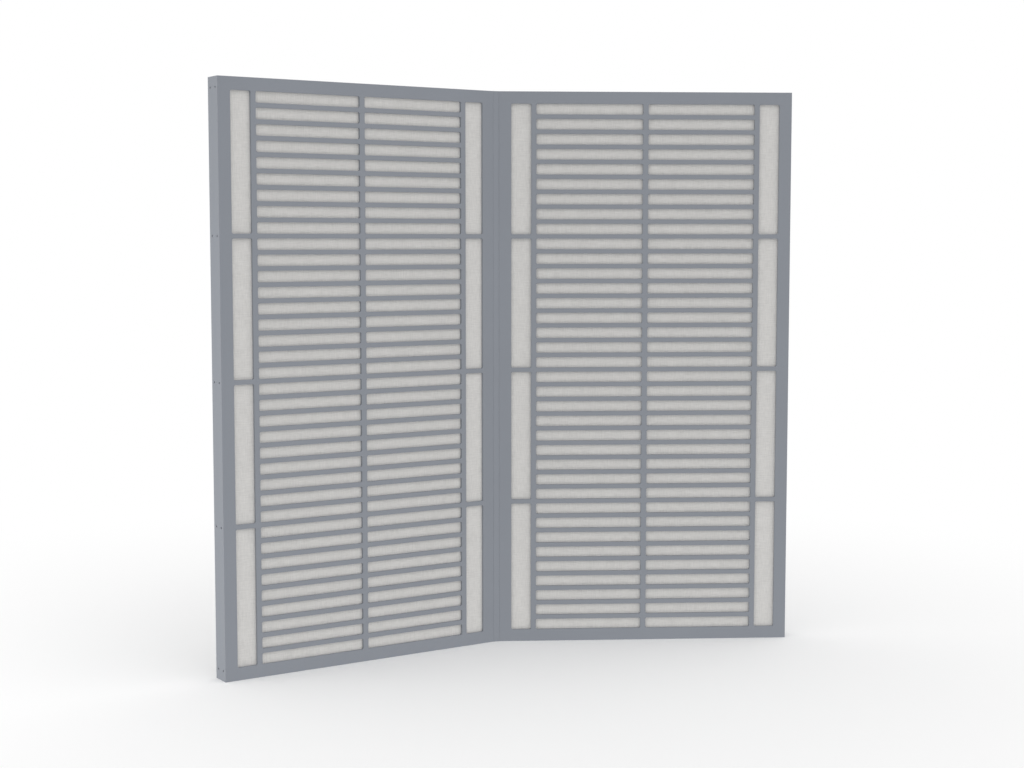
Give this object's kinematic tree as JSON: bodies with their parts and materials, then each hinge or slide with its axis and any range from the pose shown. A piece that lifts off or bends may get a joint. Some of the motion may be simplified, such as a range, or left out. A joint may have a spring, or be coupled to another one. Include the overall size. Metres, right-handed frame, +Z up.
{
  "type": "freestanding acoustic panel",
  "caption": "Freestanding folding acoustic screen: grille-faced leaves with fabric behind the slots, hinged to a wedge-shaped centre post and standing in a V on their bottom edges.",
  "frame": {"origin": "on the floor, at the middle of the standing screen's box", "axes": "+Z up, X along the screen's length with the post at X = 0, -Y towards the inside of the V (the side the picture shows), +Y towards its back, where the hinges are"},
  "size_m": [1.8994, 0.3241, 1.8],
  "materials": {
    "frame_paint": "satin blue-grey paint on wood-fibre board",
    "rail_board": "bare board",
    "face_fabric": "fine off-white woven cloth",
    "felt_core": "grey fibre felt",
    "hinge_steel": "satin",
    "black_screw": "matte"
  },
  "bodies": {
    "centre_post": {"centre_post": "frame_paint", "post_hinge_screws": "hinge_steel", "left_lower_hinge_post_plate": "hinge_steel", "left_lower_hinge_pin": "hinge_steel", "left_middle_hinge_post_plate": "hinge_steel", "left_middle_hinge_pin": "hinge_steel", "left_upper_hinge_post_plate": "hinge_steel", "left_upper_hinge_pin": "hinge_steel", "right_lower_hinge_post_plate": "hinge_steel", "right_lower_hinge_pin": "hinge_steel", "right_middle_hinge_post_plate": "hinge_steel", "right_middle_hinge_pin": "hinge_steel", "right_upper_hinge_post_plate": "hinge_steel", "right_upper_hinge_pin": "hinge_steel"},
    "left_leaf": {"left_front_grille": "frame_paint", "left_back_grille": "frame_paint", "left_front_fabric": "face_fabric", "left_back_fabric": "face_fabric", "left_outer_stile": "frame_paint", "left_inner_stile": "frame_paint", "left_bottom_strip": "frame_paint", "left_top_strip": "frame_paint", "left_frame_screws": "black_screw", "left_hinge_screws": "hinge_steel", "left_rail_1": "rail_board", "left_rail_2": "rail_board", "left_rail_3": "rail_board", "left_rail_4": "rail_board", "left_rail_5": "rail_board", "left_core_1": "felt_core", "left_core_2": "felt_core", "left_core_3": "felt_core", "left_core_4": "felt_core", "left_lower_hinge_leaf_plate": "hinge_steel", "left_middle_hinge_leaf_plate": "hinge_steel", "left_upper_hinge_leaf_plate": "hinge_steel"},
    "right_leaf": {"right_front_grille": "frame_paint", "right_back_grille": "frame_paint", "right_front_fabric": "face_fabric", "right_back_fabric": "face_fabric", "right_outer_stile": "frame_paint", "right_inner_stile": "frame_paint", "right_bottom_strip": "frame_paint", "right_top_strip": "frame_paint", "right_frame_screws": "black_screw", "right_hinge_screws": "hinge_steel", "right_rail_1": "rail_board", "right_rail_2": "rail_board", "right_rail_3": "rail_board", "right_rail_4": "rail_board", "right_rail_5": "rail_board", "right_core_1": "felt_core", "right_core_2": "felt_core", "right_core_3": "felt_core", "right_core_4": "felt_core", "right_lower_hinge_leaf_plate": "hinge_steel", "right_middle_hinge_leaf_plate": "hinge_steel", "right_upper_hinge_leaf_plate": "hinge_steel"}
  },
  "joints": [
    {"name": "left_hinge", "type": "hinge", "parent": "centre_post", "child": "left_leaf", "pos_m": [-0.02875, 0.15654, 0.9], "axis": [0, 0, -1], "range_deg": [0, 105]},
    {"name": "right_hinge", "type": "hinge", "parent": "centre_post", "child": "right_leaf", "pos_m": [0.02875, 0.15654, 0.9], "axis": [0, 0, 1], "range_deg": [0, 105]}
  ]
}
